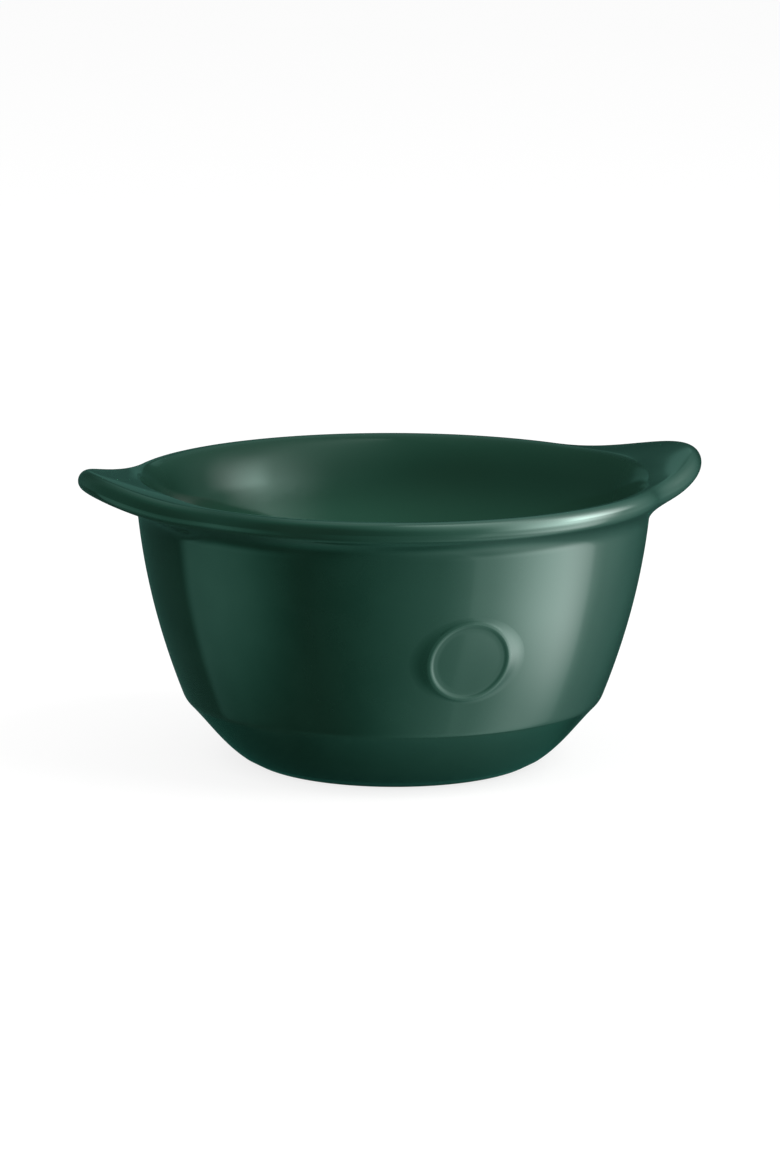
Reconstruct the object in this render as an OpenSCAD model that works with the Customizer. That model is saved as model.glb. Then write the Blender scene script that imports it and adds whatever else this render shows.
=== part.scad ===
// Onion soup crock: a small oven bowl of glazed stoneware with two lug handles drawn out of its rim.
// It stands on z = 0 with its middle on the Z axis. The handles lie along X, the seal faces -Y.

/* [Foot] */
// Diameter over which the foot stands on the table
foot_d = 71.3; // [60:0.1:80]
// Width of the foot ring's bearing face
foot_ring_w = 6; // [4:0.1:10]
// Height of the foot ring below the bowl
foot_ring_h = 2; // [1:0.1:3]
// Slope of the foot ring's outside, from level
foot_slope = 28.7; // [24:0.1:40]
// Bevel along both edges of the bearing face
foot_bevel = 0.4; // [0.2:0.05:0.8]

/* [Bowl] */
// Diameter at the knuckle, where the side turns in towards the foot
knuckle_d = 106; // [100:0.5:112]
// Height of the knuckle
knuckle_h = 16.3; // [14:0.1:19]
// Length that the knuckle's rounding takes from each side of the corner
knuckle_round = 1.2; // [0.8:0.1:4]
// Slope of the underside where it leaves the foot ring, from level
heel_slope = 36; // [30:0.5:44]
// Slope of the underside where it reaches the knuckle, from level
knuckle_slope = 46; // [42:0.5:52]
// Thickness of the wall
wall_t = 7.4; // [5.5:0.1:8.5]
// Height of the inside floor
floor_h = 7.5; // [6:0.1:10]
// Diameter of the level middle of the inside floor
floor_d = 44; // [30:1:60]
// Height at which the inside wall starts to turn in towards the floor
floor_turn_h = 24; // [22:0.5:30]
// Height at which the inside wall starts to flare out towards the lip
flare_h = 44; // [40:0.5:54]

/* [Rim] */
// Diameter over the lip
rim_d = 137; // [134:0.5:146]
// Height of the lip's top
rim_h = 72.25; // [70:0.05:76]
// Thickness of the lip's round edge
lip_t = 5.6; // [4.8:0.1:6.4]
// Width of the narrow level crest inside the round edge
lip_crest_w = 0.5; // [0.3:0.1:1.2]
// How far the lip stands out over the wall
lip_overhang = 4.05; // [3:0.05:5]
// Depth from the lip's top to where the wall starts to turn out into it
lip_drop = 10.2; // [9:0.05:12]
// Angle below level at which the lip's round edge begins
lip_under = 46; // [30:1:56]
// Height of the plain wall below that turn which belongs to the rim, down to its level seat on the bowl
rim_band_h = 1.65; // [1:0.05:4]
// Thickness of the wall at that seat
neck_t = 6.4; // [5:0.1:7.5]
// Lean of the inside wall at that seat, from upright
neck_lean = 15; // [8:0.5:22]

/* [Handles] */
// How far a handle stands out past the lip
handle_reach = 12.5; // [7:0.05:18]
// Height of a handle's tip above the lip
handle_rise = 4.55; // [2:0.05:9]
// Thickness of a handle's round edge
handle_t = 5.4; // [4.4:0.1:6.5]
// Angle round the rim from a handle's middle to where it runs out
handle_half_angle = 33.7; // [24:0.1:42]
// Upward tilt of the top face at a handle's middle
handle_tilt = 15.6; // [0:0.1:20]
// Angle below level at which the round edge of a handle's tip begins
handle_under = 76; // [60:1:88]

/* [Seal] */
// Diameter over the raised ring of the seal
seal_d = 20.7; // [14:0.1:23]
// Height of the seal's middle, as a share of the wall from the knuckle to the rim's seat
seal_h_share = 0.4545; // [0.4:0.0005:0.55]
// Angle round the wall from the middle of the front to the seal
seal_turn = 0.9; // [-4:0.1:4]
// Width of the ring's top
seal_ring_w = 0.6; // [0.4:0.1:1.5]
// Height of the ring's top above the wall at the seal's middle
seal_relief = 0.45; // [0.35:0.05:1]
// Height of the plain field inside the ring above the wall at the seal's middle
seal_field = 0.15; // [0.1:0.05:0.3]
// How far the seal's bowed face falls from its middle to its edge
seal_bow = 0.43; // [0.3:0.01:0.7]
// Slope of the seal's flanks
seal_flank = 25; // [23:1:40]

/* [Hidden] */
$fn = 180;

glaze_colour = "#1c3c30";
clay_colour = "#cdb99a";

// Steps along each stretch of the outlines
heel_steps = 8;
knuckle_steps = 5;
wall_steps = 14;
floor_steps = 16;
seat_steps = 3;
cove_steps = 7;
lip_steps = 9;
crest_steps = 3;
shoulder_steps = 10;
flare_steps = 6;
handle_steps = 40;
seal_steps = 6;

// Part of the wall's outward lean that stays even from the knuckle to the lip; the rest fades upwards
wall_even_share = 0.42;
// How far each curve keeps its first and last direction, as shares of the distance between its ends
heel_shares = [0.34, 0.34];
floor_shares = [0.34, 0.4];
flare_shares = [0.34, 0.34];
cove_shares = [0.4, 0.3];
handle_cove_shares = [0.45, 0.2];
shoulder_shares = [0.12, 0.55];
// Radius, as a share of the seal's, at which the round wall has fallen to the depth of the seal's root
seal_root_share = 1.6;
// How much later than its reach a handle gains its height
handle_lift_power = 1.6;

foot_r = foot_d / 2;
foot_inner_r = foot_r - foot_ring_w;
foot_top_r = foot_r + foot_ring_h / tan(foot_slope);
knuckle_r = knuckle_d / 2;
wall_top_r = rim_d / 2 - lip_overhang;
wall_top_h = rim_h - lip_drop;
rim_seat_h = wall_top_h - rim_band_h;
seal_h = mix(knuckle_h, rim_seat_h, seal_h_share);
floor_r = floor_d / 2;
lip_r = lip_t / 2;
handle_edge_r = handle_t / 2;
lip_mid = [rim_d / 2 - lip_r, rim_h - lip_r];
handle_mid = [rim_d / 2 + handle_reach - handle_edge_r, rim_h + handle_rise - handle_edge_r];
knuckle = [knuckle_r, knuckle_h];

function heading(angle) = [cos(angle), sin(angle)];
function unit(v) = v / norm(v);
function mix(a, b, t) = a + (b - a) * t;

// Curve from a to b that leaves along a_way and arrives along b_way
function curve(a, a_way, b, b_way, shares, steps) =
    let (
        reach = norm(b - a),
        p = a + a_way * shares[0] * reach,
        q = b - b_way * shares[1] * reach
    )
    [for (i = [0 : steps])
        let (t = i / steps, s = 1 - t)
        a * s * s * s + p * 3 * s * s * t + q * 3 * s * t * t + b * t * t * t];

// Outside radius of the wall at a height, and its rate of change
function wall_share(z) = (z - knuckle_h) / (wall_top_h - knuckle_h);
function wall_r(z) =
    let (u = wall_share(z))
    mix(knuckle_r, wall_top_r, wall_even_share * u + (1 - wall_even_share) * u * (2 - u));
function wall_lean(z) =
    let (u = wall_share(z), rate = wall_even_share + (1 - wall_even_share) * (2 - 2 * u))
    rate * (wall_top_r - knuckle_r) / (wall_top_h - knuckle_h);
function wall_way(z) = unit([wall_lean(z), 1]);
function wall_point(z, inset = 0) = [wall_r(z) - inset, z];
function wall_run(z0, z1, steps, inset = 0) =
    [for (i = [0 : steps]) wall_point(mix(z0, z1, i / steps), inset)];

// The knuckle's rounding runs from the straight underside to the wall
knuckle_below = knuckle - knuckle_round * heading(knuckle_slope);
wall_start_h = knuckle_h + knuckle_round * wall_way(knuckle_h)[1];
knuckle_above = wall_point(wall_start_h);

// Outside of the bowl, from the foot ring's seat to the rim's seat
bowl_outline = concat(
    curve([foot_top_r, foot_ring_h], heading(heel_slope),
        knuckle_below, heading(knuckle_slope), heel_shares, heel_steps),
    [for (i = [1 : knuckle_steps - 1])
        let (t = i / knuckle_steps, s = 1 - t)
        knuckle_below * s * s + knuckle * 2 * s * t + knuckle_above * t * t],
    wall_run(wall_start_h, rim_seat_h, wall_steps)
);

// Inside edge of the rim's seat, and the direction in which the inside wall rises there
neck = wall_point(rim_seat_h, neck_t);
neck_way = heading(90 - neck_lean);

// Section of the rim: pull is 0 on the plain lip and 1 at the middle of a handle
function rim_section(pull) =
    let (
        edge_r = mix(lip_r, handle_edge_r, pull),
        mid = [
            mix(lip_mid[0], handle_mid[0], pull),
            mix(lip_mid[1], handle_mid[1], pow(pull, handle_lift_power))
        ],
        under = -mix(lip_under, handle_under, pull),
        over = 90 + handle_tilt * pull,
        cove = curve(wall_point(wall_top_h), wall_way(wall_top_h),
            mid + edge_r * heading(under), heading(under + 90),
            mix(cove_shares, handle_cove_shares, pull), cove_steps),
        edge = [for (i = [1 : lip_steps - 1])
            mid + edge_r * heading(mix(under, over, i / lip_steps))],
        crest_out = mid + edge_r * heading(over),
        crest_in = crest_out + (lip_crest_w + mid[0] - lip_mid[0]) * heading(over + 90),
        shoulder = curve(crest_in, heading(over + 90), neck, -neck_way, shoulder_shares, shoulder_steps)
    )
    concat(
        [for (i = [0 : seat_steps - 1]) wall_point(mix(rim_seat_h, wall_top_h, i / seat_steps))],
        cove,
        edge,
        [for (i = [0 : crest_steps - 1]) mix(crest_out, crest_in, i / crest_steps)],
        shoulder
    );

// Pull at an angle from a handle's middle
function pull_at(angle) = 0.5 + 0.5 * cos(180 * angle / handle_half_angle);

// Solid through a row of closed sections, all with the same number of points
module loft(sections) {
    n = len(sections[0]);
    last = len(sections) - 1;
    sides = [for (i = [0 : last - 1], j = [0 : n - 1])
        let (k = (j + 1) % n, a = i * n + j, b = i * n + k, c = b + n, d = a + n)
        each [[a, b, d], [b, c, d]]];
    near_end = [for (j = [n - 1 : -1 : 0]) j];
    far_end = [for (j = [0 : n - 1]) last * n + j];
    polyhedron([for (section = sections) each section], concat(sides, [near_end, far_end]));
}

// Bowl from the foot ring's seat to the rim's seat, open at the top
module bowl_body() {
    flare = curve(neck, -neck_way, wall_point(flare_h, wall_t), -wall_way(flare_h), flare_shares, flare_steps);
    inner_wall = wall_run(flare_h, floor_turn_h, wall_steps, wall_t);
    floor_curve = curve(wall_point(floor_turn_h, wall_t), -wall_way(floor_turn_h),
        [floor_r, floor_h], [-1, 0], floor_shares, floor_steps);
    color(glaze_colour)
        rotate_extrude()
            polygon(concat(
                [[0, foot_ring_h]],
                bowl_outline,
                flare,
                [for (i = [1 : wall_steps]) inner_wall[i]],
                [for (i = [1 : floor_steps]) floor_curve[i]],
                [[0, floor_h]]
            ));
}

// Unglazed ring under the bowl that the crock stands on
module foot_ring() {
    color(clay_colour)
        rotate_extrude()
            polygon([
                [foot_inner_r, foot_ring_h],
                [foot_inner_r, foot_bevel],
                [foot_inner_r + foot_bevel, 0],
                [foot_r - foot_bevel, 0],
                [foot_r + foot_bevel / tan(foot_slope), foot_bevel],
                [foot_top_r, foot_ring_h]
            ]);
}

// Length of plain lip between the handles, centred on an angle
module plain_rim(middle) {
    sweep = 180 - 2 * handle_half_angle;
    color(glaze_colour)
        rotate([0, 0, middle - sweep / 2])
            rotate_extrude(angle = sweep)
                polygon(rim_section(0));
}

module front_rim() { plain_rim(270); }

module rear_rim() { plain_rim(90); }

// Lug handle: the lip's section swept round the rim while it is drawn out, lifted and tilted
module lug_handle(middle) {
    sections = [for (i = [0 : handle_steps])
        let (angle = handle_half_angle * (2 * i / handle_steps - 1))
        [for (p = rim_section(pull_at(angle)))
            [p[0] * cos(angle), p[0] * sin(angle), p[1]]]];
    color(glaze_colour)
        rotate([0, 0, middle])
            loft(sections);
}

module left_handle() { lug_handle(180); }

module right_handle() { lug_handle(0); }

// Round seal on the front wall: a bowed plain field inside a low raised ring
module seal_ring() {
    seal_r = seal_d / 2;
    ring_in_r = seal_r - seal_ring_w;
    field_r = ring_in_r - (seal_relief - seal_field) / tan(seal_flank);
    root = wall_r(seal_h) - sqrt(pow(wall_r(seal_h), 2) - pow(seal_r * seal_root_share, 2));
    function face(r, lift) = [r, lift - seal_bow * pow(r / seal_r, 2)];
    edge = face(seal_r, seal_relief);
    color(glaze_colour)
        difference() {
            rotate([0, 0, seal_turn])
                translate([0, -wall_r(seal_h), seal_h])
                    rotate([90 + atan(wall_lean(seal_h)), 0, 0])
                        rotate_extrude()
                            polygon(concat(
                                [[0, -root], [seal_r + (edge[1] + root) / tan(seal_flank), -root], edge],
                                [face(ring_in_r, seal_relief)],
                                [for (i = [seal_steps : -1 : 0]) face(field_r * i / seal_steps, seal_field)]
                            ));
            rotate_extrude()
                polygon(concat([[0, foot_ring_h]], bowl_outline, [[0, rim_seat_h]]));
        }
}

bowl_body();
foot_ring();
front_rim();
rear_rim();
left_handle();
right_handle();
seal_ring();
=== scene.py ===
# %% [markdown]
# # An onion soup crock in dark green glaze
# The crock is a small oven bowl of stoneware: a flared side on a narrow foot, a rounded lip, and a lug
# handle drawn up out of the rim on each side. The construction model gives every piece its place and size.
# This script loads that model as a fixed frame and then makes the skin that shows: the same outlines at a
# much finer step, so that the gloss runs smoothly from piece to piece.

# %% Load the frame
import math

import bpy
import numpy as np
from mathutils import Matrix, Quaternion, Vector


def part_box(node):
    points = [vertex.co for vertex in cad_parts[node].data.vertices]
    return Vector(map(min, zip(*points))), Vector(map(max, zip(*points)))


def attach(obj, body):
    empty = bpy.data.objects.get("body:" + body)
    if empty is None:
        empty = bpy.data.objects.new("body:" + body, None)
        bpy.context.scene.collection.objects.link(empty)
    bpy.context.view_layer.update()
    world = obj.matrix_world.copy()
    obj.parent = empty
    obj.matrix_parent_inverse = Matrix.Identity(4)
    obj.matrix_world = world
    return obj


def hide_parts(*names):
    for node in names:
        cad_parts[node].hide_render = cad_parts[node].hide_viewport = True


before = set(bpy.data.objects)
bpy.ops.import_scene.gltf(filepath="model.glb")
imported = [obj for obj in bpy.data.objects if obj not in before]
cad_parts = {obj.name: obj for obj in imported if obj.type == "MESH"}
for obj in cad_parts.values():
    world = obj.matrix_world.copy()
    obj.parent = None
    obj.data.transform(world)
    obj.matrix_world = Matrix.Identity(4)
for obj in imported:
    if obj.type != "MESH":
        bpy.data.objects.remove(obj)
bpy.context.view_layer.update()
print("nodes in the frame:", ", ".join(sorted(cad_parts)))

# %% [markdown]
# ## Sizes
# Where a size can be measured on the frame, it is read from a node's box, so the skin follows the model if
# the model changes. The slopes, thicknesses and curve shares that a box can't tell are written once, in the
# cell that first needs them. Lengths are in metres. A share says how far a curve keeps its first or last
# direction before it bends away.

# %% Sizes read from the frame
rim_low, rim_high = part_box("front_rim")
lug_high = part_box("right_handle")[1]
foot_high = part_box("foot_ring")[1]
seal_low, seal_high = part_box("seal_ring")

rim_r = -rim_low.y
rim_h = rim_high.z
seat_h = rim_low.z
lug_half_angle = math.acos(-rim_low.x / rim_r)
tip_r = lug_high.x
tip_h = lug_high.z
foot_top_r = foot_high.x
foot_top_h = foot_high.z
seal_side = (seal_low.x + seal_high.x) / 2
print(f"rim {2 * rim_r:.4f} m across and {rim_h:.4f} m high")
print(f"each lug spans {math.degrees(2 * lug_half_angle):.1f} degrees of it")

# %% [markdown]
# ## Outlines
# A potter draws a bowl as half of its section. Every stretch of this one is a formula: the wall is a
# parabola whose lean fades upwards, and the other stretches are cubic curves that leave and arrive along
# given directions, so neighbouring stretches meet without a kink. A hand-drawn Bezier curve would do too,
# but it would not follow the frame. The lip's section has one more input, the pull: 0 on the plain lip, 1 at
# the middle of a lug, where it is drawn out, lifted and tilted.

# %% Directions, mixes and curves
def heading(angle):
    return np.array([math.cos(angle), math.sin(angle)])


def mix(a, b, t):
    return np.asarray(a) + (np.asarray(b) - np.asarray(a)) * t


def curve(start, leave, end, arrive, shares, steps):
    """Cubic curve from start to end, leaving and arriving along two unit directions."""
    reach = np.linalg.norm(end - start)
    first = start + leave * shares[0] * reach
    last = end - arrive * shares[1] * reach
    t = np.linspace(0, 1, steps + 1)[:, None]
    s = 1 - t
    return s**3 * start + 3 * s**2 * t * first + 3 * s * t**2 * last + t**3 * end


# %% The wall
knuckle_r = 0.053
knuckle_h = 0.0163
lip_overhang = 0.00405
lip_drop = 0.0102
wall_top_r = rim_r - lip_overhang
wall_top_h = rim_h - lip_drop
wall_even_share = 0.42


def wall_point(height, inset=0.0):
    u = (height - knuckle_h) / (wall_top_h - knuckle_h)
    rise = wall_even_share * u + (1 - wall_even_share) * u * (2 - u)
    return np.array([mix(knuckle_r, wall_top_r, rise) - inset, height])


def wall_way(height):
    u = (height - knuckle_h) / (wall_top_h - knuckle_h)
    rate = wall_even_share + (1 - wall_even_share) * (2 - 2 * u)
    way = np.array([rate * (wall_top_r - knuckle_r) / (wall_top_h - knuckle_h), 1.0])
    return way / np.linalg.norm(way)


def wall_run(low, high, steps, inset=0.0):
    return np.array([wall_point(h, inset) for h in np.linspace(low, high, steps + 1)])


print(f"the wall leans {math.degrees(math.acos(wall_way(seat_h)[1])):.1f} degrees at the rim's seat")

# %% Outside of the bowl
knuckle_round = 0.0012
heel_slope = math.radians(36)
knuckle_slope = math.radians(46)
heel_shares = (0.34, 0.34)
heel_steps, knuckle_steps, wall_steps = 18, 12, 40


def bowl_outside():
    knuckle = np.array([knuckle_r, knuckle_h])
    below = knuckle - knuckle_round * heading(knuckle_slope)
    above = wall_point(knuckle_h + knuckle_round * wall_way(knuckle_h)[1])
    start = np.array([foot_top_r, foot_top_h])
    heel = curve(start, heading(heel_slope), below, heading(knuckle_slope), heel_shares, heel_steps)
    t = np.linspace(0, 1, knuckle_steps + 1)[:, None]
    turn = (1 - t) ** 2 * below + 2 * t * (1 - t) * knuckle + t**2 * above
    return np.concatenate([heel, turn[1:], wall_run(above[1], seat_h, wall_steps)[1:]])


outside = bowl_outside()
print(f"outside of the bowl: {len(outside)} points")

# %% Inside of the bowl
wall_t = 0.0074
neck_t = 0.0064
neck_lean = math.radians(15)
flare_h = 0.044
floor_turn_h = 0.024
floor_r = 0.022
floor_h = 0.0075
flare_shares = (0.34, 0.34)
floor_shares = (0.34, 0.40)
flare_steps, inside_steps, floor_steps = 16, 30, 36

neck = wall_point(seat_h, neck_t)
neck_way = np.array([math.sin(neck_lean), math.cos(neck_lean)])
inwards_level = np.array([-1.0, 0.0])


def bowl_inside():
    flare_end = wall_point(flare_h, wall_t)
    flare = curve(neck, -neck_way, flare_end, -wall_way(flare_h), flare_shares, flare_steps)
    wall = wall_run(flare_h, floor_turn_h, inside_steps, wall_t)
    floor_edge = np.array([floor_r, floor_h])
    turn = curve(wall[-1], -wall_way(floor_turn_h), floor_edge, inwards_level, floor_shares, floor_steps)
    flat = np.array([[floor_r * share, floor_h] for share in (0.75, 0.5, 0.25)])
    return np.concatenate([flare, wall[1:], turn[1:], flat])


inside = bowl_inside()
print(f"inside of the bowl: {len(inside)} points")

# %% Section of the rim at any pull
lip_edge_r = 0.0028
lip_crest_w = 0.0005
lip_under = math.radians(46)
lug_edge_r = 0.0027
lug_tilt = math.radians(15.6)
lug_under = math.radians(76)
lug_lift_power = 1.6
cove_shares = ((0.40, 0.30), (0.45, 0.20))
shoulder_shares = (0.12, 0.55)
below_steps, cove_steps, edge_steps, crest_steps, shoulder_steps = 6, 24, 32, 8, 48

lip_mid = np.array([rim_r - lip_edge_r, rim_h - lip_edge_r])
lug_mid = np.array([tip_r - lug_edge_r, tip_h - lug_edge_r])


def rim_section(pull):
    edge_r = mix(lip_edge_r, lug_edge_r, pull)
    mid = np.array([mix(lip_mid[0], lug_mid[0], pull), mix(lip_mid[1], lug_mid[1], pull**lug_lift_power)])
    under = -mix(lip_under, lug_under, pull)
    over = math.pi / 2 + lug_tilt * pull
    inwards = heading(over + math.pi / 2)
    below = wall_run(seat_h, wall_top_h, below_steps)
    edge = np.array([mid + edge_r * heading(turn) for turn in np.linspace(under, over, edge_steps + 1)])
    edge_way = heading(under + math.pi / 2)
    shares = mix(*cove_shares, pull)
    cove = curve(wall_point(wall_top_h), wall_way(wall_top_h), edge[0], edge_way, shares, cove_steps)
    crest_w = lip_crest_w + mid[0] - lip_mid[0]
    crest = np.array([edge[-1] + inwards * crest_w * share for share in np.linspace(0, 1, crest_steps + 1)])
    shoulder = curve(crest[-1], inwards, neck, -neck_way, shoulder_shares, shoulder_steps)
    return np.concatenate([below, cove[1:], edge[1:], crest[1:], shoulder[1:]])


print(f"rim section: {len(rim_section(0.0))} points")

# %% [markdown]
# ## One skin, cut into pieces
# Gloss shows the smallest break in a surface. So the whole skin is worked out first as one grid of points,
# round the bowl and along its outline, and its surface directions are taken from that grid. Each piece is
# then cut out of the grid and keeps those directions, so light crosses a joint as if there were none.
# Smooth shading alone would average the directions of each piece by itself and show every joint.

# %% Angles round the bowl
lug_steps = 72
plain_steps = 116


def spread(low, high, steps):
    return np.linspace(low, high, steps, endpoint=False)


edges = (-lug_half_angle, lug_half_angle, math.pi - lug_half_angle, math.pi + lug_half_angle)
angles = np.concatenate([
    spread(edges[0], edges[1], lug_steps),
    spread(edges[1], edges[2], plain_steps),
    spread(edges[2], edges[3], lug_steps),
    spread(edges[3], edges[0] + 2 * math.pi, plain_steps),
])


def pull_at(angle):
    off = abs((angle + math.pi / 2) % math.pi - math.pi / 2)
    return 0.5 + 0.5 * math.cos(math.pi * min(off / lug_half_angle, 1.0))


print(f"{len(angles)} angles, {2 * lug_steps} of them in the lugs")

# %% The grid and its surface directions
def round_the_axis(outline, turn):
    """Points of an outline (radius, height), turned round the axis."""
    return np.stack([outline[..., 0] * np.cos(turn), outline[..., 0] * np.sin(turn), outline[..., 1]], axis=-1)


def along(points):
    """Direction of a row of points at each of them, with uneven steps allowed for."""
    step = np.diff(points, axis=1)
    length = np.linalg.norm(step, axis=2, keepdims=True)
    way = step / length
    inner = (way[:, 1:] * length[:, :-1] + way[:, :-1] * length[:, 1:]) / (length[:, 1:] + length[:, :-1])
    return np.concatenate([way[:, :1], inner, way[:, -1:]], axis=1)


outlines = np.array([np.concatenate([outside, rim_section(pull_at(a))[1:-1], inside]) for a in angles])
seat_out = len(outside) - 1
seat_in = outlines.shape[1] - len(inside)

skin = round_the_axis(outlines, angles[:, None])
wrapped = np.concatenate([skin[-1:], skin, skin[:1]])
turns = np.concatenate([angles[-1:] - 2 * math.pi, angles, angles[:1] + 2 * math.pi])
across = np.gradient(wrapped, turns, axis=0)[1:-1]
facing = np.cross(across, along(skin))
facing /= np.linalg.norm(facing, axis=2, keepdims=True)
print(f"skin grid: {skin.shape[0]} angles x {skin.shape[1]} points")

# %% Where the glaze is thin, and where the inside begins
thin_at = 420.0
inner_rate = 3


def sharpness(points, ways):
    """How tightly a surface bends outwards along its rows, in 1/m."""
    bend = np.gradient(along(points), axis=1)
    step = np.gradient(points, axis=1)
    return np.clip(-(bend * ways).sum(2) / np.linalg.norm(step, axis=2), 0, None)


thin = np.clip(sharpness(skin, facing) / thin_at, 0, 1)
down_the_shoulder = np.clip(inner_rate * np.arange(1, shoulder_steps) / shoulder_steps, 0, 1)
inner = np.zeros(skin.shape[1])
inner[seat_in - shoulder_steps + 1 : seat_in] = down_the_shoulder**2 * (3 - 2 * down_the_shoulder)
inner[seat_in:] = 1.0
inner = np.repeat(inner[None], len(angles), axis=0)
print(f"the glaze is thin on {100 * (thin > 0.5).mean():.0f} percent of the grid's points")

# %% Helpers that turn a grid into a closed piece
def grid_faces(count, width, wrap_rows, wrap_columns):
    """Quads between the rows and columns of a grid, with the numbers of their corners."""
    faces = []
    for i in range(count if wrap_rows else count - 1):
        here, there = i * width, (i + 1) % count * width
        for j in range(width if wrap_columns else width - 1):
            k = (j + 1) % width
            faces.append((here + j, there + j, there + k, here + k))
    return faces


def make_piece(name, node, points, faces, directions, thinness, innerness=None):
    mesh = bpy.data.meshes.new(name)
    mesh.from_pydata([tuple(p) for p in points], [], faces)
    mesh.attributes.new("thin", "FLOAT", "POINT").data.foreach_set("value", thinness)
    if innerness is not None:
        mesh.attributes.new("inner", "FLOAT", "POINT").data.foreach_set("value", innerness)
    mesh.polygons.foreach_set("use_smooth", [True] * len(mesh.polygons))
    mesh.normals_split_custom_set([tuple(d) for face in directions for d in face])
    piece = bpy.data.objects.new(name, mesh)
    bpy.context.scene.collection.objects.link(piece)
    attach(piece, "root")
    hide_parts(node)
    node_ends = np.array([tuple(corner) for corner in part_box(node)])
    off = np.abs(np.array([points.min(0), points.max(0)]) - node_ends).max()
    print(f"{name}: {len(faces)} faces, at most {1000 * off:.2f} mm from the box of {node}")
    return piece


# %% [markdown]
# ## Bowl
# The bowl is thrown or pressed in one go: floor, underside, knuckle and wall. It could be a Screw modifier
# on a curve, but the grid is already there, so its outside and inside strips are used as they are. A level
# seat joins them under the rim, and the underside is closed by a flat disc inside the foot ring.

# %% Bowl piece
UP = (0.0, 0.0, 1.0)
DOWN = (0.0, 0.0, -1.0)


def bowl_piece():
    count = len(angles)
    keep = np.r_[0 : seat_out + 1, seat_in : skin.shape[1]]
    rows = skin[:, keep]
    ways = facing[:, keep].reshape(-1, 3)
    width = rows.shape[1]
    points = np.concatenate([rows.reshape(-1, 3), [[0, 0, foot_top_h], [0, 0, floor_h]]])
    faces = grid_faces(count, width, True, False)
    directions = []
    for face in faces:
        on_seat = face[0] % width == seat_out
        directions.append([UP] * 4 if on_seat else [ways[v] for v in face])
    below, above = len(points) - 2, len(points) - 1
    for i in range(count):
        here, there = i * width, (i + 1) % count * width
        faces.append((below, there, here))
        directions.append([DOWN] * 3)
        faces.append((here + width - 1, there + width - 1, above))
        directions.append([UP] * 3)
    thinness = np.append(thin[:, keep].ravel(), [0.0, 0.0])
    innerness = np.append(inner[:, keep].ravel(), [0.0, 1.0])
    return make_piece("glazed_bowl", "bowl_body", points, faces, directions, thinness, innerness)


bowl = bowl_piece()

# %% [markdown]
# ## Rim and lugs
# On the real crock the lugs are not stuck on: the clay of the rim is drawn out, up and down again, and the
# lip runs through them without a break. Sweeping one section round the rim while its pull rises and falls
# gives the same form. A bevelled curve could not change its section on the way. The four lengths meet on
# flat faces, like slices of one ring.

# %% Rim pieces
def rim_piece(name, node, first, steps):
    picked = np.arange(first, first + steps + 1) % len(angles)
    strip = slice(seat_out, seat_in + 1)
    rows = skin[picked][:, strip]
    ways = facing[picked][:, strip].reshape(-1, 3)
    count, width = rows.shape[:2]
    faces = grid_faces(count, width, False, True)
    directions = []
    for face in faces:
        on_seat = face[0] % width == width - 1
        directions.append([DOWN] * 4 if on_seat else [ways[v] for v in face])
    for row, sign in ((0, -1), (count - 1, 1)):
        turn = angles[picked[row]]
        cap = [row * width + j for j in range(width)]
        faces.append(tuple(cap if sign < 0 else cap[::-1]))
        directions.append([(-sign * math.sin(turn), sign * math.cos(turn), 0.0)] * width)
    thinness = thin[picked][:, strip].ravel()
    innerness = inner[picked][:, strip].ravel()
    points = rows.reshape(-1, 3)
    return make_piece(name, node, points, faces, directions, thinness, innerness)


right_lug = rim_piece("glazed_right_handle", "right_handle", 0, lug_steps)
rear_lip = rim_piece("glazed_rear_rim", "rear_rim", lug_steps, plain_steps)
left_lug = rim_piece("glazed_left_handle", "left_handle", lug_steps + plain_steps, lug_steps)
front_lip = rim_piece("glazed_front_rim", "front_rim", 2 * lug_steps + plain_steps, plain_steps)

# %% [markdown]
# ## Foot ring
# Glaze would weld the crock to the kiln shelf, so the ring that it stands on is wiped bare before firing.
# The ring is turned from a short outline whose edges are rounded, as a wet sponge leaves them. A Bevel
# modifier would round the edge under the bowl too, where the two pieces have to meet face to face.

# %% Outline of the foot ring
foot_slope = math.radians(28.7)
foot_r = foot_top_r - foot_top_h / math.tan(foot_slope)
foot_ring_w = 0.006
foot_edge_r = 0.0004
foot_edge_steps = 6


def foot_outline():
    inner_r = foot_r - foot_ring_w
    t = np.linspace(0, 1, foot_edge_steps + 1)[:, None]
    hollow = np.array([inner_r, 0.0]) + foot_edge_r * np.hstack([t**2, (1 - t) ** 2])
    flank = t**2 * heading(foot_slope) + (1 - t) ** 2 * inwards_level
    outer = np.array([foot_r, 0.0]) + 2 * foot_edge_r * flank
    top = np.array([[foot_top_r, foot_top_h], [inner_r, foot_top_h]])
    return np.concatenate([hollow, outer, top])


print(f"foot ring: {2 * foot_r:.4f} m across on the table")

# %% Foot ring piece
soft_bend = 0.8


def foot_piece():
    outline = foot_outline()
    around = angles[::2]
    points = round_the_axis(np.repeat(outline[None], len(around), axis=0), around[:, None]).reshape(-1, 3)
    width = len(outline)
    step = np.roll(outline, -1, axis=0) - outline
    step /= np.linalg.norm(step, axis=1, keepdims=True)
    flats = np.stack([step[:, 1], -step[:, 0]], axis=1)
    faces = grid_faces(len(around), width, True, True)
    directions = []
    for face in faces:
        i, j = divmod(face[0], width)
        flat = flats[j]
        ends = []
        for near in (flats[j - 1], flats[(j + 1) % width]):
            end = flat + (near if near @ flat > soft_bend else flat)
            ends.append(end / np.linalg.norm(end))
        here, there = around[i], around[(i + 1) % len(around)]
        corners = ((ends[0], here), (ends[0], there), (ends[1], there), (ends[1], here))
        directions.append([round_the_axis(end, turn) for end, turn in corners])
    return make_piece("clay_foot_ring", "foot_ring", points, faces, directions, np.zeros(len(points)))


foot = foot_piece()

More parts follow.
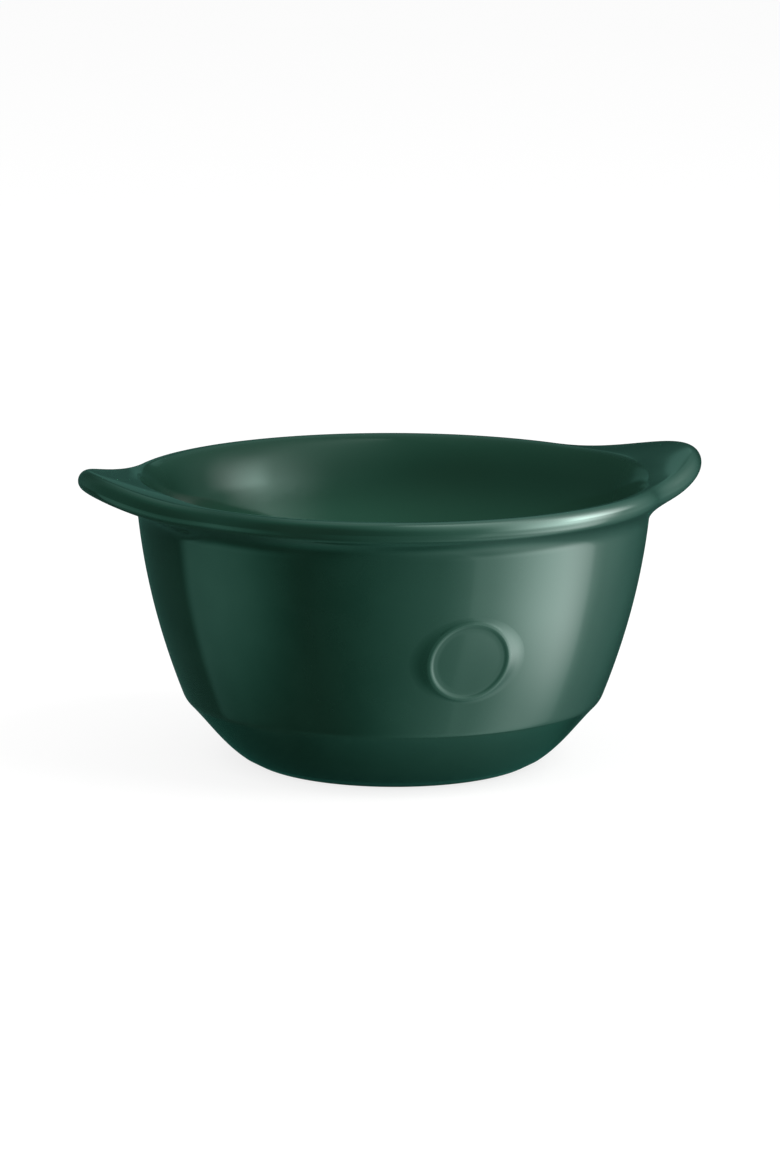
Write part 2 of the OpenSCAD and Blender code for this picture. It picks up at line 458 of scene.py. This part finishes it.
# %% [markdown]
# ## Seal
# The maker sets a small round seal on the front wall. Its face is bowed less than the wall, so its flank is
# wider at the left and right than above and below. It could be cut out of a cylinder with a Boolean, but the
# corner would stay sharp. So the seal is written as a height over the plane that touches the wall at its
# middle: a plain field, a low ring, a sloping flank. A smooth maximum of that height and the wall's own
# height fills the corner between them, as glaze does.

# %% Height of the seal's face
seal_d = 0.0207
seal_ring_w = 0.0006
seal_relief = 0.00045
seal_field = 0.00015
seal_bow = 0.00043
seal_flank = math.tan(math.radians(25))
seal_corner = 0.00020


def soft_max(a, b, width):
    """The larger of two heights, with a fillet where they cross."""
    near = np.clip(1 - abs(a - b) / width, 0, None)
    return np.maximum(a, b) + width / 4 * near**2


def seal_height(radius):
    """Height of the seal's face over the plane that touches the wall at its middle."""
    outer = seal_relief - (radius - seal_d / 2) * seal_flank
    inner = seal_relief - (seal_d / 2 - seal_ring_w - radius) * seal_flank
    ring = -soft_max(-np.minimum(outer, inner), -seal_relief * np.ones_like(radius), seal_corner)
    face = soft_max(ring, np.where(radius < seal_d / 2, seal_field, -1.0), seal_corner)
    return face - seal_bow * np.minimum(2 * radius / seal_d, 1.0) ** 2


print(f"seal: {1000 * seal_d:.1f} mm across, ring {1000 * seal_relief:.2f} mm high")

# %% Place on the wall
seal_h_share = 0.4545
seal_mid_h = mix(knuckle_h, seat_h, seal_h_share)
seal_mid_r, _ = wall_point(seal_mid_h)
seal_turn = math.asin(seal_side / seal_mid_r)
seal_lean = math.atan2(*wall_way(seal_mid_h))
newton_steps = 4


def seal_depth(y, height):
    """Distance from the axis towards the front, and level, of a place y up that plane."""
    depth = seal_mid_r + height * math.cos(seal_lean) + y * math.sin(seal_lean)
    return depth, seal_mid_h - height * math.sin(seal_lean) + y * math.cos(seal_lean)


def seal_place(x, y, height):
    depth, level = seal_depth(y, height)
    across = x * math.cos(seal_turn) + depth * math.sin(seal_turn)
    return np.stack([across, x * math.sin(seal_turn) - depth * math.cos(seal_turn), level], axis=-1)


def wall_height(x, y):
    """Height of the wall over that plane, by a few Newton steps."""
    height = np.zeros_like(x)
    for _ in range(newton_steps):
        depth, level = seal_depth(y, height)
        wall = np.array([wall_point(z)[0] for z in level.ravel()]).reshape(level.shape)
        height -= (np.hypot(x, depth) - wall) / math.cos(seal_lean)
    return height


print(f"seal's middle: {seal_mid_h:.4f} m up, {math.degrees(seal_turn):.2f} degrees off the front")

# %% Seal piece
seal_steps = 168
field_radii = np.linspace(0.0004, 0.0088, 8)
ring_radii = np.linspace(0.0090, 0.0150, 61)
seal_fillet = 0.00035
seal_sunk = 0.00001
seal_root = 0.0015


def seal_piece():
    around = spread(0, 2 * math.pi, seal_steps)[:, None]
    radii = np.concatenate([field_radii, ring_radii])[None]
    x, y = radii * np.cos(around), radii * np.sin(around)
    wall = wall_height(x, y)
    height = soft_max(seal_height(radii) + 0 * x, wall, seal_fillet) - seal_sunk
    face = seal_place(x, y, height)
    back = seal_place(x[:, -1], y[:, -1], wall[:, -1] - seal_root)
    tip_heights = np.array([seal_field - seal_sunk, -seal_root - seal_relief])
    tips = seal_place(np.zeros(2), np.zeros(2), tip_heights)
    sweep = np.roll(face, -1, axis=0) - np.roll(face, 1, axis=0)
    facing = np.cross(along(face), sweep)
    facing /= np.linalg.norm(facing, axis=2, keepdims=True)
    ways = facing.reshape(-1, 3)
    count, width = face.shape[:2]
    points = np.concatenate([face.reshape(-1, 3), back, tips])
    faces = [f[::-1] for f in grid_faces(count, width, True, False)]
    directions = [[ways[v] for v in f] for f in faces]
    first_back = count * width
    front_tip, back_tip = first_back + count, first_back + count + 1
    for i in range(count):
        j = (i + 1) % count
        last = i * width + width - 1
        faces.append((front_tip, i * width, j * width))
        directions.append([ways[i * width]] * 3)
        faces.append((last, first_back + i, first_back + j, j * width + width - 1))
        directions.append([ways[last]] * 4)
        faces.append((first_back + i, back_tip, first_back + j))
        directions.append([(0.0, 1.0, 0.0)] * 3)
    thinness = np.zeros(len(points))
    thinness[:first_back] = np.clip(sharpness(face, facing) / thin_at, 0, 1).ravel()
    return make_piece("glazed_seal_ring", "seal_ring", points, faces, directions, thinness)


seal = seal_piece()

# %% [markdown]
# ## Camera
# The photograph was taken with a long lens, a little above the rim and a little to the left of the seal. Its
# angles and distance were found by fitting the crock's outline. The crock stands off the middle of the
# picture, so the camera first looks at a point on the axis and is then panned and tipped by the pixels that
# are left over. Shifting the lens would do the same, but a turn is what a photographer does.

# %% Camera at the photograph's angle
photo_w, photo_h = 780, 1170
focal_px = 4900.6
view_turn = math.radians(-17.161)
view_lift = math.radians(11.433)
view_roll = math.radians(0.166)
view_distance = 1.2422
aim = Vector((0.0, 0.0, 0.0381))
aim_px = (393.38, 608.25)

camera_data = bpy.data.cameras.new("camera")
camera_data.sensor_width = 36.0
camera_data.lens = focal_px * camera_data.sensor_width / photo_h
camera = bpy.data.objects.new("camera", camera_data)
bpy.context.scene.collection.objects.link(camera)
bpy.context.scene.camera = camera
back = Vector((
    math.sin(view_turn) * math.cos(view_lift),
    -math.cos(view_turn) * math.cos(view_lift),
    math.sin(view_lift),
))
camera.location = aim + view_distance * back
camera.rotation_mode = "QUATERNION"
level = (-back).to_track_quat("-Z", "Y")
pan = math.atan((aim_px[0] - photo_w / 2) / focal_px)
tip = math.atan((aim_px[1] - photo_h / 2) / focal_px)
camera.rotation_quaternion = (
    level
    @ Quaternion((0, 1, 0), pan)
    @ Quaternion((1, 0, 0), tip)
    @ Quaternion((0, 0, 1), view_roll)
)
bpy.context.scene.view_settings.view_transform = "Standard"
print(f"camera: {camera_data.lens:.1f} mm lens, {view_distance:.3f} m away")

# %% [markdown]
# ## Writing materials as sums
# A node material is arithmetic drawn as boxes. Here a small class stands for one socket, so that a mask can
# be written as an ordinary sum, and each operator adds its Math node. Every other node comes from the same
# class by its type, its settings and what goes into its sockets.

# %% A socket that can be added and multiplied
class Socket:
    def __init__(self, tree, output):
        self.tree = tree
        self.output = output

    @classmethod
    def node(cls, tree, kind, settings=None, sockets=None, output=0):
        made = tree.nodes.new(kind)
        for name, value in (settings or {}).items():
            setattr(made, name, value)
        for name, value in (sockets or {}).items():
            if isinstance(value, Socket):
                tree.links.new(value.output, made.inputs[name])
            else:
                made.inputs[name].default_value = value
        return cls(tree, made.outputs[output]) if len(made.outputs) else None

    def math(self, operation, a, b=0.0, clamp=False):
        settings = {"operation": operation, "use_clamp": clamp}
        return Socket.node(self.tree, "ShaderNodeMath", settings, {0: a, 1: b})

    def __add__(self, other):
        return self.math("ADD", self, other)

    __radd__ = __add__

    def __sub__(self, other):
        return self.math("SUBTRACT", self, other)

    def __rsub__(self, other):
        return self.math("SUBTRACT", other, self)

    def __mul__(self, other):
        return self.math("MULTIPLY", self, other)

    __rmul__ = __mul__

    def __truediv__(self, other):
        return self.math("DIVIDE", self, other)

    def __rtruediv__(self, other):
        return self.math("DIVIDE", other, self)

    def __pow__(self, other):
        return self.math("POWER", self, other)

    def of(self, operation, other=0.0):
        """A function of this socket, such as its sine, by the name of the Math node's operation."""
        return self.math(operation, self, other)

    def clamped(self):
        return self.math("ADD", self, 0.0, True)

    def between(self, low, high):
        """0 at low, 1 at high, smooth in between."""
        sockets = {"Value": self, "From Min": low, "From Max": high}
        return Socket.node(self.tree, "ShaderNodeMapRange", {"interpolation_type": "SMOOTHSTEP"}, sockets)


# %% Colours, new materials and outputs
WHITE = (1.0, 1.0, 1.0)


def colour(tree, factor, low, high):
    """Mix of two colours, each given as red, green, blue or as a socket."""
    low, high = (c if isinstance(c, Socket) else (*c, 1.0) for c in (low, high))
    return Socket.node(tree, "ShaderNodeMix", {"data_type": "RGBA"}, {"Factor": factor, 6: low, 7: high}, output=2)


def shaders(tree, factor, low, high):
    """Mix of two shaders."""
    return Socket.node(tree, "ShaderNodeMixShader", None, {0: factor, 1: low, 2: high})


def noise(tree, place, scale, detail):
    return Socket.node(tree, "ShaderNodeTexNoise", None, {"Vector": place, "Scale": scale, "Detail": detail})


def ripples(tree, height):
    """Surface direction over a height given in metres."""
    return Socket.node(tree, "ShaderNodeBump", None, {"Strength": 1.0, "Distance": 1.0, "Height": height})


def object_place(tree):
    return Socket.node(tree, "ShaderNodeTexCoord", output="Object")


def axis_of(tree, place, axis):
    return Socket.node(tree, "ShaderNodeSeparateXYZ", None, {"Vector": place}, output=axis)


def new_material(name):
    material = bpy.data.materials.new(name)
    material.use_nodes = True
    material.node_tree.nodes.clear()
    return material, material.node_tree


def show(tree, shader, kind="ShaderNodeOutputMaterial"):
    Socket.node(tree, kind, None, {"Surface": shader})


# %% [markdown]
# ## Glaze
# The glaze is a deep green glass, fired on at over a thousand degrees. It draws thin over sharp edges and
# settles with a faint ripple. A Principled shader with a low roughness gives the gloss. Noise in the object's
# own coordinates gives the cloudiness and the ripple, and a mask from the grid lets the clay show through a
# little where the coat is thin. Inside, the colour is made paler as painted light, and paler still low down,
# for the light from above that falls on the upturned inner wall. The inside also mirrors less, and below the
# rim less still: it has coats with a lower index of refraction, mixed in by a second mask and by height.

# %% Glaze colours and sizes
glaze_deep = (0.0046, 0.0170, 0.0102)
glaze_cloud = (0.0060, 0.0205, 0.0128)
glaze_thin = (0.0120, 0.0360, 0.0240)
# Painted light: the two inside colours are paler than the glaze outside, the lower one most, for the light from
# above that falls into the bowl.
painted_light_inside_upper = (0.0118, 0.0422, 0.0267)
painted_light_inside_lower = (0.0300, 0.1020, 0.0670)
glaze_gloss_tint = (0.665, 1.0, 0.885)
glaze_ior, inside_ior, dimmer_gloss_ior = 1.5, 1.21, 1.14
glaze_rough, cloud_rough = 0.06, 0.03
thin_share = 0.45
painted_light_heights = (0.047, 0.066)
# Below these heights the inside mirrors least.
dimmer_gloss_heights = (0.056, 0.0624)
cloud_scale, ripple_scale, pore_scale = 70.0, 38.0, 900.0
ripple_h, pore_h = 0.00010, 0.0000012
noise_middle = (0.35, 0.65)
print(f"glaze: ripple up to {1000 * ripple_h:.2f} mm high, index {glaze_ior} outside and {inside_ior} inside")

# %% Glaze material
def glaze_shader(tree):
    place = object_place(tree)
    thin = Socket.node(tree, "ShaderNodeAttribute", {"attribute_name": "thin"}, output="Fac")
    inner = Socket.node(tree, "ShaderNodeAttribute", {"attribute_name": "inner"}, output="Fac")
    height = axis_of(tree, place, "Z")
    cloud = noise(tree, place, cloud_scale, 4.0)
    body = colour(tree, cloud.between(*noise_middle), glaze_deep, glaze_cloud)
    body = colour(tree, thin * thin_share, body, glaze_thin)
    # Painted light: the inside is paler, and paler still low down, for the light that falls into the bowl from
    # above.
    painted_light_tone = colour(tree, height.between(*painted_light_heights), painted_light_inside_lower, painted_light_inside_upper)
    ripple = noise(tree, place, ripple_scale, 1.0)
    pores = noise(tree, place, pore_scale, 2.0)
    bump = ripples(tree, ripple * ripple_h + pores * pore_h)
    coats = [
        Socket.node(tree, "ShaderNodeBsdfPrincipled", None, {
            "Base Color": tone,
            "Roughness": glaze_rough + cloud_rough * cloud,
            "IOR": ior,
            "Specular Tint": (*glaze_gloss_tint, 1.0),
            "Normal": bump,
        })
        for tone, ior in ((body, glaze_ior), (painted_light_tone, inside_ior), (painted_light_tone, dimmer_gloss_ior))
    ]
    lining = shaders(tree, height.between(*dimmer_gloss_heights), coats[2], coats[1])
    return shaders(tree, inner, coats[0], lining)


glaze, glaze_tree = new_material("green_glaze")
show(glaze_tree, glaze_shader(glaze_tree))
glazed = (bowl, right_lug, rear_lip, left_lug, front_lip, seal)
for piece in glazed:
    piece.data.materials.append(glaze)
print(f"glaze on {len(glazed)} pieces")

# %% [markdown]
# ## Bare clay
# Under the glaze the body is a warm buff clay with fine dark grains. It shows only on the bearing face of
# the foot; the glaze runs down the ring's flank and stops a few tenths of a millimetre above the table. Two
# material slots would part them along faces, with a straight edge. One material mixed by height lets the
# edge of the glaze wander.

# %% Clay material
clay_pale = (0.52, 0.40, 0.27)
clay_warm = (0.40, 0.28, 0.17)
clay_grain = (0.16, 0.10, 0.06)
clay_scale, grain_scale = 160.0, 1400.0
grain_edge, grain_share = (0.10, 0.22), 0.8
clay_rough, clay_rough_more = 0.75, 0.15
clay_bump_h = 0.00008
glaze_line_h, glaze_wander = (0.00025, 0.00045), 0.0001

clay, clay_tree = new_material("bare_clay")
clay_place = object_place(clay_tree)
clay_cloud = noise(clay_tree, clay_place, clay_scale, 6.0)
grains = Socket.node(clay_tree, "ShaderNodeTexVoronoi", None, {"Vector": clay_place, "Scale": grain_scale})
clay_body = colour(clay_tree, clay_cloud.between(*noise_middle), clay_pale, clay_warm)
clay_body = colour(clay_tree, (1 - grains.between(*grain_edge)) * grain_share, clay_body, clay_grain)
clay_shader = Socket.node(clay_tree, "ShaderNodeBsdfPrincipled", None, {
    "Base Color": clay_body,
    "Roughness": clay_rough + clay_rough_more * clay_cloud,
    "Normal": ripples(clay_tree, clay_cloud * clay_bump_h),
})
glaze_line = (axis_of(clay_tree, clay_place, "Z") + clay_cloud * glaze_wander).between(*glaze_line_h)
show(clay_tree, shaders(clay_tree, glaze_line, clay_shader, glaze_shader(clay_tree)))
foot.data.materials.append(clay)
print(f"clay on the foot ring, up to {1000 * glaze_line_h[1]:.2f} mm over the table")

# %% [markdown]
# ## Floor and world
# The crock stands on a plain white floor in front of a white world. Both are white for the camera by the kind
# of ray that meets them, and the lamps don't have to be strong enough for that. The floor keeps part of its
# own shading, so the crock still throws a soft shadow. It is left out of gloss, because the light tent below
# has a lower half in its place.

# %% Floor
floor_size = 3.0
floor_shade_share = 0.3
floor_white_level = 1.15
floor_grain_scale = 30.0
floor_tones = (0.90, 0.90, 0.90), (0.93, 0.93, 0.93)


def seen_directly(tree):
    """1 for camera, gloss and glass rays, 0 for the rays that carry diffuse light."""
    kinds = ("Camera", "Glossy", "Transmission")
    rays = [Socket.node(tree, "ShaderNodeLightPath", output=f"Is {kind} Ray") for kind in kinds]
    return (rays[0] + rays[1] + rays[2]).clamped()


floor_mesh = bpy.data.meshes.new("floor")
corners = [(-1, -1), (1, -1), (1, 1), (-1, 1)]
floor_mesh.from_pydata([(floor_size * x, floor_size * y, 0.0) for x, y in corners], [], [(0, 1, 2, 3)])
floor = bpy.data.objects.new("floor", floor_mesh)
bpy.context.scene.collection.objects.link(floor)

floor_white, floor_tree = new_material("floor_white")
floor_grain = Socket.node(floor_tree, "ShaderNodeTexNoise", None, {"Scale": floor_grain_scale, "Detail": 3.0})
floor_tone = colour(floor_tree, floor_grain, *floor_tones)
floor_shaded = Socket.node(floor_tree, "ShaderNodeBsdfDiffuse", None, {"Color": floor_tone})
floor_look = {"Color": (*WHITE, 1.0), "Strength": floor_white_level}
floor_lit = Socket.node(floor_tree, "ShaderNodeEmission", None, floor_look)
floor_seen = seen_directly(floor_tree) * (1 - floor_shade_share)
show(floor_tree, shaders(floor_tree, floor_seen, floor_shaded, floor_lit))
floor_mesh.materials.append(floor_white)
floor.visible_glossy = False
print(f"floor: {2 * floor_size:.0f} m square, {floor_shade_share} of its own shading kept")

# %% World
world_level = 0.55

world = bpy.data.worlds.new("white_world")
bpy.context.scene.world = world
world.use_nodes = True
world_tree = world.node_tree
world_tree.nodes.clear()
world_strength = world_level + (1 - world_level) * seen_directly(world_tree)
world_look = {"Color": (*WHITE, 1.0), "Strength": world_strength}
show(world_tree, Socket.node(world_tree, "ShaderNodeBackground", None, world_look), "ShaderNodeOutputWorld")
print(f"world level {world_level} for diffuse light")

# %% [markdown]
# ## Lamps
# Two soft lamps give the plain light: a broad one high on the right and a weaker one on the left. A sun
# would throw a hard shadow. They are hidden from gloss rays, because what the glaze mirrors is made in the
# next step.

# %% Soft lamps
lamp_size = 1.2
lamps = {"lamp_right": ((0.9, -0.7, 1.2), 14.0), "lamp_left": ((-1.0, -0.4, 1.1), 7.0)}

for name, (place, power) in lamps.items():
    data = bpy.data.lights.new(name, "AREA")
    data.shape = "DISK"
    data.size = lamp_size
    data.energy = power
    lamp = bpy.data.objects.new(name, data)
    lamp.location = place
    lamp.rotation_mode = "QUATERNION"
    lamp.rotation_quaternion = Vector(place).to_track_quat("Z", "Y")
    lamp.visible_camera = False
    lamp.visible_glossy = False
    bpy.context.scene.collection.objects.link(lamp)
    print(f"{name}: {power} W")

# %% [markdown]
# ## Light tent
# A glossy pot is photographed inside a tent: what it shows is the cloth. Area lamps would show as plain discs.
# This tent is a ball that only gloss rays see. Its upper half is the cloth: bright on the right, where the key
# lamp stands outside it, fading across the front, weak on the left and nearly dark behind the pot, so that the
# outline stays crisp. Its lower half stands for the polished table, which shows the same panels upside down
# and weaker the steeper the look. A small disc under the pot is the shade that it throws on the table. Each
# panel is a product of smooth steps along the angle round the pot and the angle up or down, in degrees.

# %% Tent meshes
tent_r = 0.42
shade_r = 0.0571
tent_rings, tent_sides = 48, 96
shade_shares = (1.0, 0.5, 0.001)


def tent_part(name, rings):
    turns = spread(0, 2 * math.pi, tent_sides)
    points = [(r * math.cos(turn), r * math.sin(turn), h) for r, h in rings for turn in turns]
    mesh = bpy.data.meshes.new(name)
    mesh.from_pydata(points, [], grid_faces(len(rings), tent_sides, False, True))
    part = bpy.data.objects.new(name, mesh)
    part.rotation_euler = (0.0, 0.0, view_turn)
    bpy.context.scene.collection.objects.link(part)
    part.visible_camera = False
    part.visible_diffuse = False
    part.visible_transmission = False
    part.visible_volume_scatter = False
    part.visible_shadow = False
    return part


slopes = np.linspace(-math.pi / 2, math.pi / 2, tent_rings + 1)
ball = tent_part("tent_ball", [(tent_r * math.cos(a), tent_r * math.sin(a)) for a in slopes])
shade = tent_part("tent_shade", [(shade_r * share, 0.0) for share in shade_shares])
print(f"tent: a ball {2 * tent_r:.2f} m across and a shade disc {2 * shade_r:.3f} m across")

# %% Helpers for the cloth
in_degrees = 180 / math.pi
strong_level = 2.2
weak_sides = (75, 130)
weak_front, weak_behind = (0.16, 1.0, 0.77), (0.30, 1.0, 0.82)


def cloth_axes(tree):
    """Place on the tent: to the right, towards the camera, up."""
    place = object_place(tree)
    right, back, up = (axis_of(tree, place, axis) for axis in "XYZ")
    return right, 0 - back, up


def degrees_round(right, front):
    """Angle round the pot from the camera's side, more than 0 on the right."""
    return right.of("ARCTAN2", front) * in_degrees


def window(angle, opens, closes):
    """1 between two soft edges, each given by the angles where it starts and ends."""
    return angle.between(*opens) * (1 - angle.between(*closes))


def light_cloth(part, material, tree, level, turn):
    """Weak light from the cloth is greenish, as the room is, less so behind the pot; strong light is white."""
    pale = 1 - (level * (-1 / strong_level)).of("EXPONENT")
    weak = colour(tree, turn.of("ABSOLUTE").between(*weak_sides), weak_front, weak_behind)
    look = {"Color": colour(tree, pale, weak, WHITE), "Strength": level}
    show(tree, Socket.node(tree, "ShaderNodeEmission", None, look))
    part.data.materials.append(material)
    material.cycles.emission_sampling = "NONE"


# %% Shade under the pot
shade_base, shade_front = 0.077, 0.63
shade_reach = (0.031, 0.0606)
shade_edges = (-39, 18), (32, 96)

shade_cloth, shade_tree = new_material("shade_cloth")
right, front, _ = cloth_axes(shade_tree)
turn = degrees_round(right, front)
reach = (right * right + front * front) ** 0.5
shade_glow = shade_front * reach.between(*shade_reach) * window(turn, *shade_edges)
light_cloth(shade, shade_cloth, shade_tree, shade_base + shade_glow, turn)
print(f"shade disc: level {shade_base} to {shade_base + shade_front:.2f}")

# %% Angles on the ball
ball_cloth, ball_tree = new_material("ball_cloth")
right, front, up = cloth_axes(ball_tree)
turn = degrees_round(right, front)
rise = (up / tent_r).of("ARCSINE") * in_degrees
fall = 0 - rise
print("angles: round the pot, up from the table, down from it")

# %% Upper half: wash over the left and the front
cloth_base = 0.0914
cloth_left, left_edges = 0.187, ((-148, -107), (-73, -47))
cloth_front, front_edges = 2.76, ((-27.4, 83.7), (72, 150))

wash = cloth_left * window(turn, *left_edges) + cloth_front * window(turn, *front_edges)
print(f"wash: level {cloth_left} on the left, {cloth_front} in front")

# %% Upper half: key lamp and its hot spot
cloth_key, key_edges, key_slant = 13.0, ((27, 84), (69, 105)), 0.109
key_low_share, key_rise, key_top = 0.44, (0, 18.8), (15.8, 69)
cloth_hot, hot_edges, hot_slant = 9.0, ((58, 72.6), (73, 113)), 0.36
hot_foot, hot_foot_slant, hot_foot_turn, hot_top = (20.6, 29.4), 0.13, 85, (28, 58)

key = cloth_key * window(turn - key_slant * rise, *key_edges) * (1 - rise.between(*key_top))
key = key * (key_low_share + (1 - key_low_share) * rise.between(*key_rise))
hot = cloth_hot * window(turn - hot_slant * rise, *hot_edges) * (1 - rise.between(*hot_top))
hot = hot * (rise + hot_foot_slant * (turn - hot_foot_turn)).between(*hot_foot)
print(f"key lamp: level {cloth_key}, hot spot {cloth_hot} more")

# %% Upper half: top cloth and two spots behind
cloth_top, top_edge, top_way = 2.49, (0.409, 1.5), Vector((0.225, -0.031, 0.82)).normalized()
top_left_share, top_left_edge = 0.4, (-0.6, 0)
spot_right, spot_right_turn, spot_right_rise = 0.20, (158, 166), ((28.5, 30.5), (33, 35))
spot_left, spot_left_turn, spot_left_rise = 0.10, (-168, -160), ((12.5, 15), (22, 26))

over = (right * top_way.x + front * top_way.y + up * top_way.z) / tent_r
top_share = top_left_share + (1 - top_left_share) * (right / tent_r).between(*top_left_edge)
top = cloth_top * over.between(*top_edge) * top_share
spots = spot_right * turn.between(*spot_right_turn) * window(rise, *spot_right_rise)
spots = spots + spot_left * (1 - turn.between(*spot_left_turn)) * window(rise, *spot_left_rise)
upper = cloth_base + wash + key + hot + spots + top
print(f"top cloth: level {cloth_top}; spots behind: {spot_right} and {spot_left}")

# %% Lower half: left panel and front
table_base = 0.092
table_left, left_close, left_fade = 0.75, (-76.5, -36.3), (15, 43)
crisp_share, crisp_edge, crisp_slant = 0.6, (-105, -96), 0.45
soft_edge, soft_slant = (-104, -78), 0.2
table_front, table_front_edges, table_front_fade = 1.59, ((-45.7, 56.8), (63, 160)), (50, 80)

left_open = crisp_share * (turn + crisp_slant * fall).between(*crisp_edge)
left_open = left_open + (1 - crisp_share) * (turn + soft_slant * fall).between(*soft_edge)
left = table_left * left_open * (1 - turn.between(*left_close)) * (1 - fall.between(*left_fade))
middle = table_front * window(turn, *table_front_edges) * (1 - fall.between(*table_front_fade))
print(f"table: level {table_left} on the left, {table_front} in front")

# %% Lower half: key panel
table_key, table_key_open, table_key_close, close_slant = 4.23, (17.6, 82.5), (77, 106.2), 0.2
step_share, step_edge, step_slant = 0.5, (92.5, 96.5), 0.31
steep_share, steep_edge = 0.76, (18.6, 37.9)
table_side, side_open, side_close, side_slant = 1.40, (45, 80), (62.7, 133.4), 0.317
table_seam, seam_edges = 0.28, ((33.6, 35.6), (35.6, 46))
table_fade = (15.6, 74)

mirrored = table_key * turn.between(*table_key_open) * (1 - (turn - close_slant * fall).between(*table_key_close))
mirrored = mirrored * (1 - step_share * (turn - step_slant * fall).between(*step_edge))
mirrored = mirrored * (1 - steep_share * fall.between(*steep_edge))
beside = table_side * turn.between(*side_open) * (1 - (turn + side_slant * fall).between(*side_close))
seam = table_seam * window(turn, *seam_edges)
panel = (mirrored + beside + seam) * (1 - fall.between(*table_fade))
print(f"table's key panel: level {table_key}")

# %% Both halves together
table_down, down_edge = 0.36, (47.6, 76)
horizon = (-0.3, 0.3)

lower = table_base + left + middle + panel + table_down * fall.between(*down_edge)
light_cloth(ball, ball_cloth, ball_tree, lower + rise.between(*horizon) * (upper - lower), turn)
print(f"ball: {len(ball_tree.nodes)} nodes in its cloth")
